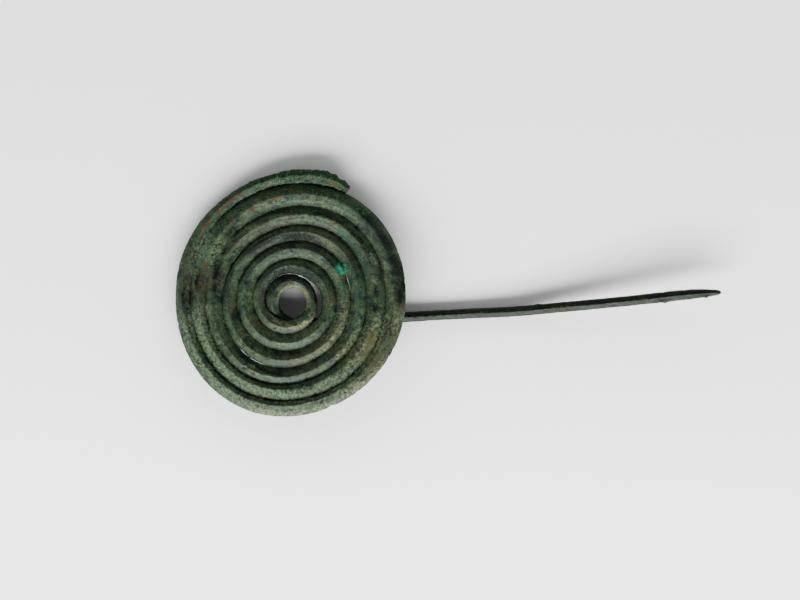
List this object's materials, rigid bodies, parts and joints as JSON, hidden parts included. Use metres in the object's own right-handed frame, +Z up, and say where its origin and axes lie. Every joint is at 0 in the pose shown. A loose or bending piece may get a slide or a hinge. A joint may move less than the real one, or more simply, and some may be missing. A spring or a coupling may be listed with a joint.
{
  "type": "fibula brooch",
  "caption": "Flat spiral disc of ridged bronze wire that runs out behind into a long pointed pin; the outer end of the wire is broken off.",
  "frame": {"origin": "on the surface the brooch lies on, below the middle of its bounding box", "axes": "+X towards the pin's point, +Z up out of the face of the disc"},
  "size_m": [0.142, 0.0644, 0.0081],
  "materials": {
    "patinated_bronze": "forged bronze under a rough, mottled green patina with crusts"
  },
  "bodies": {
    "root": {"spiral_brooch": "patinated_bronze"}
  },
  "joints": []
}
